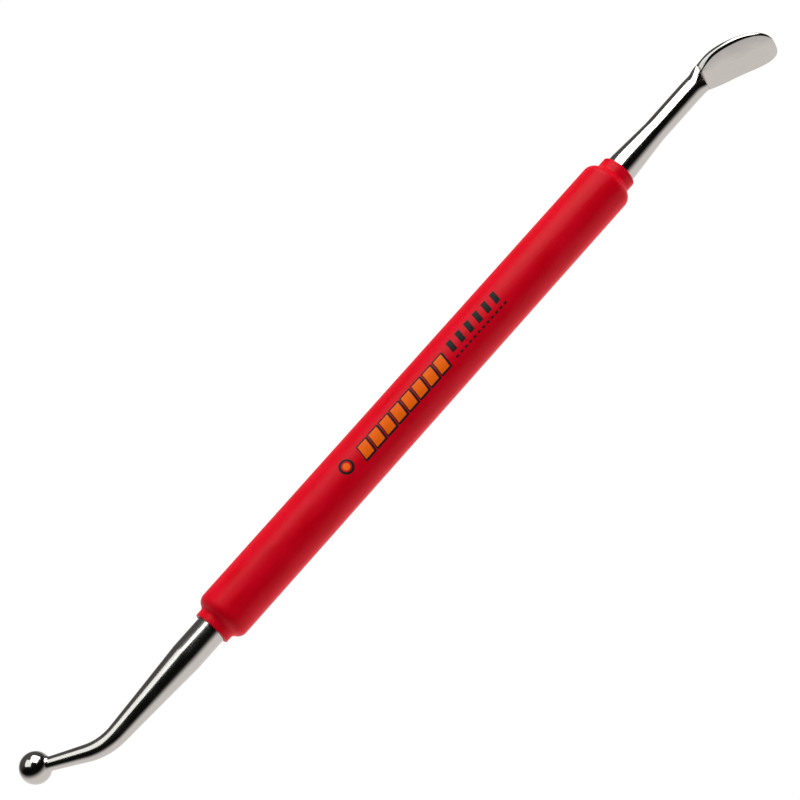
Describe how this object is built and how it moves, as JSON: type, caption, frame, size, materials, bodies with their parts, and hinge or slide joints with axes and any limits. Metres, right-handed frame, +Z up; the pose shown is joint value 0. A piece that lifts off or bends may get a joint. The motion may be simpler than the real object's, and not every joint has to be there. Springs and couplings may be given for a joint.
{
  "type": "clay shaper tool",
  "caption": "Double-ended hand tool for shaping clay: a ball burnisher on a bent steel neck, a sleeved round grip, and a bent leaf-shaped steel spatula.",
  "frame": {"origin": "middle of the footprint's bounding box, on the surface that the tool lies on", "axes": "+X along the handle from the ball end towards the spatula, +Z up, -Y the side that the spatula bends to"},
  "size_m": [0.1976, 0.0204, 0.011],
  "materials": {
    "sleeve": "satin red shrink tubing, fine moulded mottle, printed with plain slanted bars",
    "core": "plain drawn tube, hidden under the sleeve",
    "shank_steel": "polished, with faint lengthwise polishing lines",
    "ball_steel": "mirror-polished ball",
    "blade_steel": "polished, with a fine satin grain on the blade's face"
  },
  "bodies": {
    "root": {"grip_sleeve": "sleeve", "core_tube": "core", "ball_shank": "shank_steel", "ball_tip": "ball_steel", "blade_shank": "blade_steel"}
  },
  "joints": []
}
